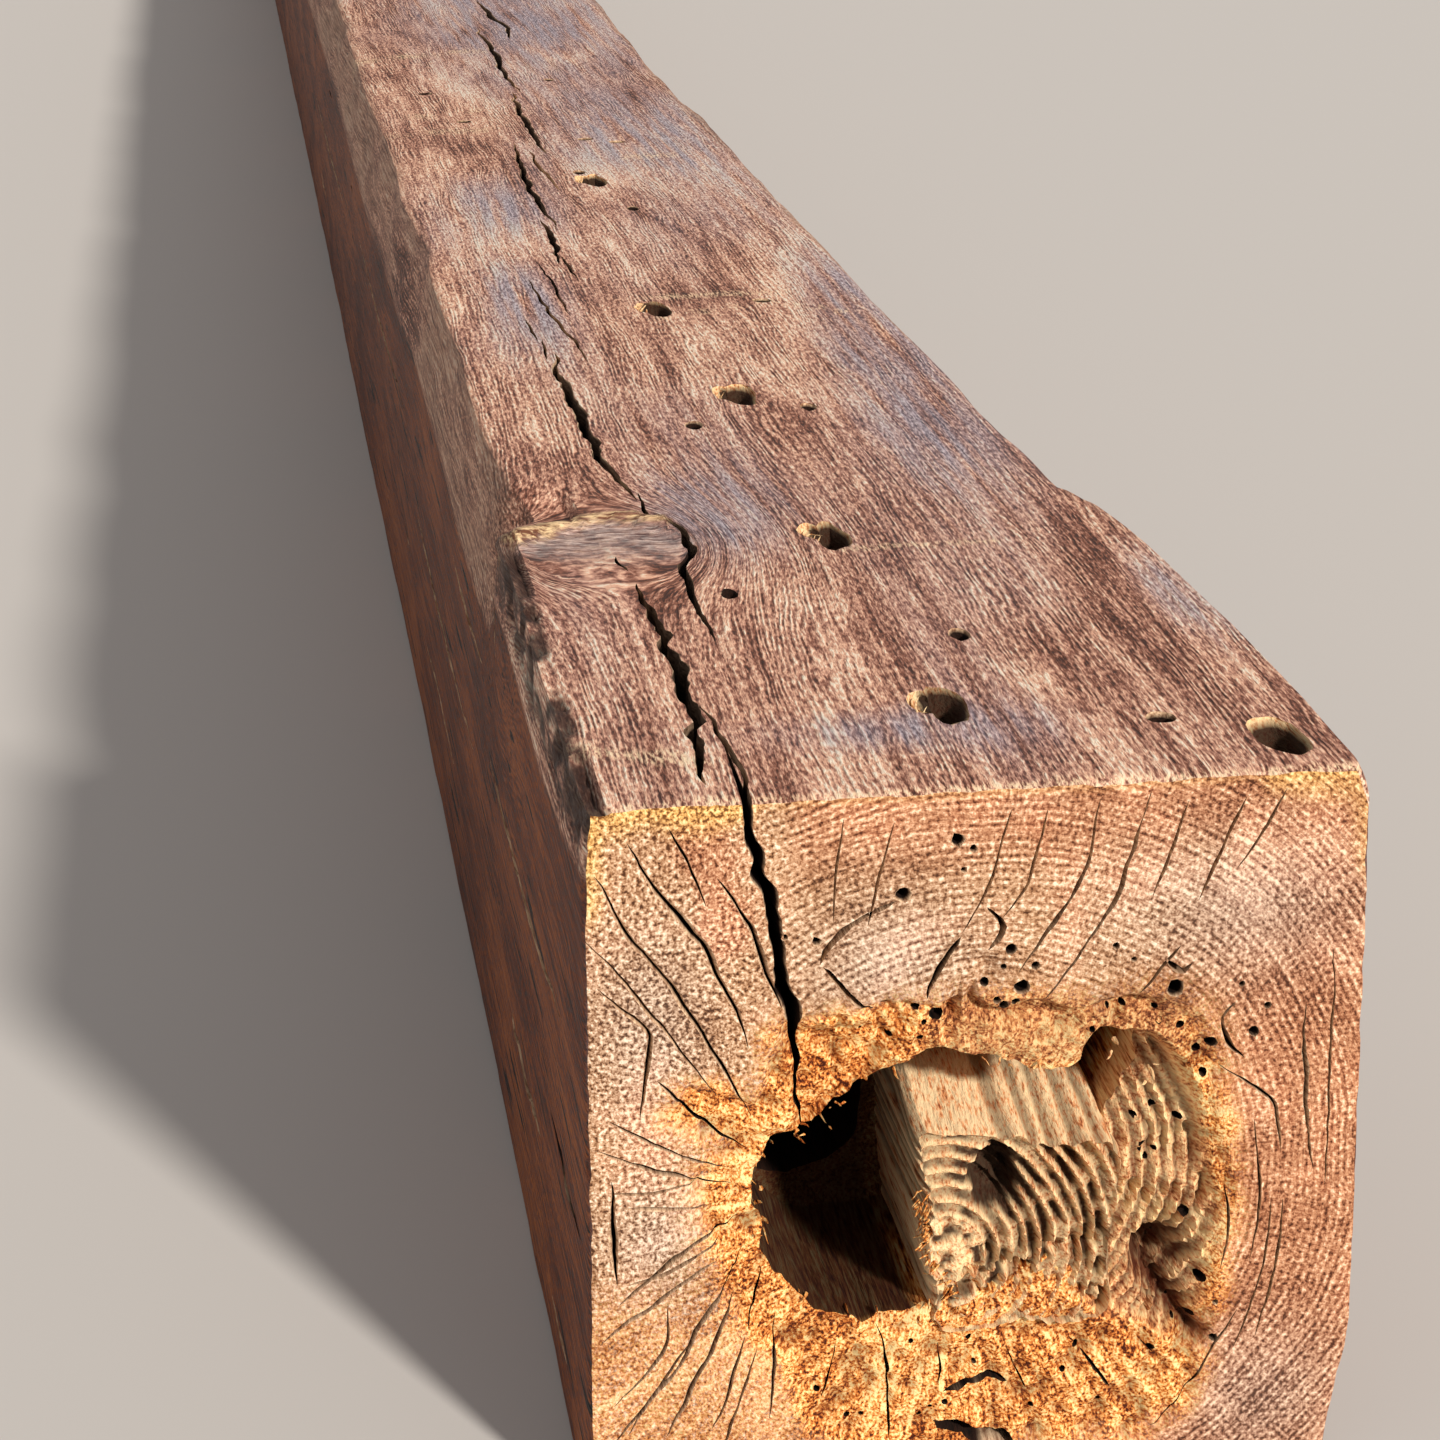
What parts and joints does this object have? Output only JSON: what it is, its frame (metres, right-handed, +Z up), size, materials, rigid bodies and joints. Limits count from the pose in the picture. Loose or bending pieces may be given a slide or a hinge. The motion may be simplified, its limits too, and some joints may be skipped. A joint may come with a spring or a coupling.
{
  "type": "railway sleeper",
  "caption": "Reclaimed hardwood railway sleeper: a squared baulk with waney top edges, drying splits, spike holes and a decayed heart at one end.",
  "frame": {"origin": "centre of the underside", "axes": "+Y along the timber, away from the end with the decayed heart; +Z up from the underside; +X across, to the right when looking along +Y"},
  "size_m": [0.25, 4.8, 0.25],
  "materials": {
    "hardwood": "rough"
  },
  "bodies": {
    "root": {"sleeper": "hardwood"}
  },
  "joints": []
}
